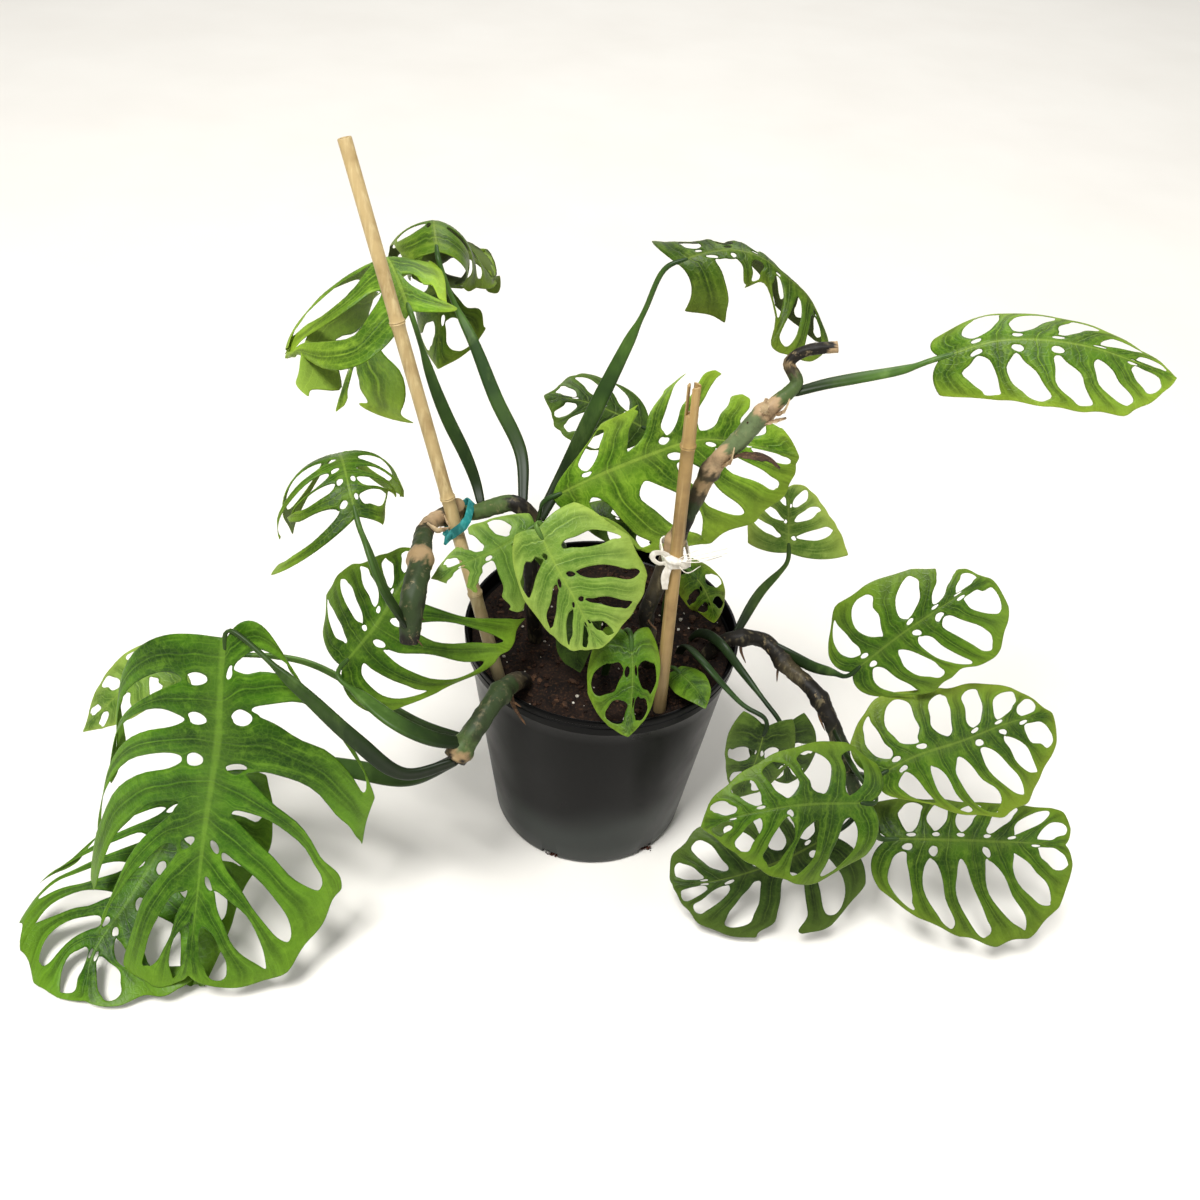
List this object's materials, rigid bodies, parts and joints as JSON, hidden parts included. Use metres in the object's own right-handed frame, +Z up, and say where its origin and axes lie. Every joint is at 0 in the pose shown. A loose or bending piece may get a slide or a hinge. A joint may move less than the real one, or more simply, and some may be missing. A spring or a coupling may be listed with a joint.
{
  "type": "potted esqueleto monstera",
  "caption": "Climbing aroid house plant with large pierced leaves on knotty stems, tied to bamboo stakes in a round black nursery pot of soil.",
  "frame": {"origin": "middle of the pot's underside, on the ground plane", "axes": "+Z up, -Y towards the side the picture shows, +X to the right seen from there"},
  "size_m": [0.9696, 0.5647, 0.6816],
  "materials": {
    "pot": "matte black with a soft sheen",
    "soil": "rough, crumbly, with pale specks",
    "cane_straw": "smooth straw-coloured bamboo",
    "cane_tan": "weathered bamboo",
    "tie_teal": "flat woven strap",
    "tie_white": "flat soft strap with frayed end",
    "stem": "green to brown, rough at the nodes",
    "leaf": "satin leaf",
    "leaf_pale": "satin young leaf",
    "leaf_deep": "satin shaded leaf"
  },
  "bodies": {
    "root": {"pot": "pot", "soil": "soil", "stake_tall": "cane_straw", "stake_short": "cane_tan", "tie_teal": "tie_teal", "tie_white": "tie_white", "stem_left_tall": "stem", "stem_right_tall": "stem", "stem_right_low": "stem", "stem_left_low": "stem", "leaf_front_left": "leaf", "leaf_floor_left": "leaf", "leaf_far_left": "leaf_pale", "leaf_left_pair": "leaf", "leaf_small_curled": "leaf", "leaf_tall_left": "leaf", "leaf_tall_centre": "leaf", "leaf_back_centre": "leaf_deep", "leaf_centre_right": "leaf", "leaf_centre_front": "leaf_pale", "leaf_centre_left": "leaf_pale", "leaf_right_arch": "leaf", "leaf_far_right": "leaf", "leaf_right_small": "leaf_pale", "leaf_right_top": "leaf", "leaf_right_middle": "leaf", "leaf_right_low": "leaf", "leaf_right_front": "leaf", "leaf_right_floor": "leaf_deep", "leaf_inner_left": "leaf_deep", "leaf_inner_right": "leaf_deep", "leaf_pot_front": "leaf", "leaf_under_centre": "leaf_deep", "leaf_crinkled": "leaf", "leaf_plain_rim": "leaf", "leaf_plain_front": "leaf_deep"}
  },
  "joints": []
}
